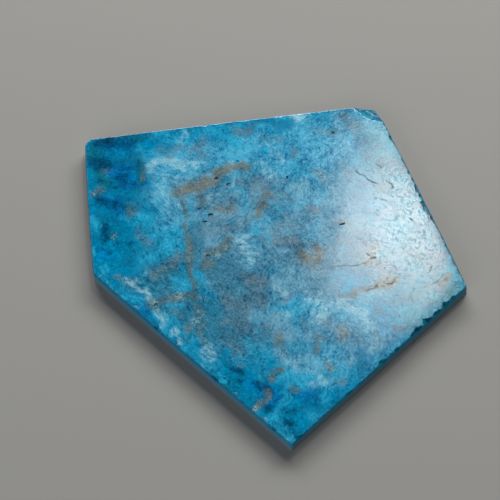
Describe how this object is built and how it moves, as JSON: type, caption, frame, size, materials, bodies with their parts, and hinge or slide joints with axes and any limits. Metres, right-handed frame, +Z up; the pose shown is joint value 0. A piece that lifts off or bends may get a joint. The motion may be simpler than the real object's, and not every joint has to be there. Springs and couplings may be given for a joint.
{
  "type": "polished blue apatite slab",
  "caption": "Thin flat slab of blue apatite with a polished face, a five-sided sawn outline, rounded edges and chipped sides, lying flat.",
  "frame": {"origin": "on the surface that the slab lies on, below the middle of its box", "axes": "+X along the slab's width, +Y towards its long back side, +Z up out of the polished face"},
  "size_m": [0.0902, 0.0893, 0.0038],
  "materials": {
    "polished_apatite": "polished face and hand-rubbed edges, fine-ground sides, sawn underside"
  },
  "bodies": {
    "root": {"apatite_slab": "polished_apatite"}
  },
  "joints": []
}
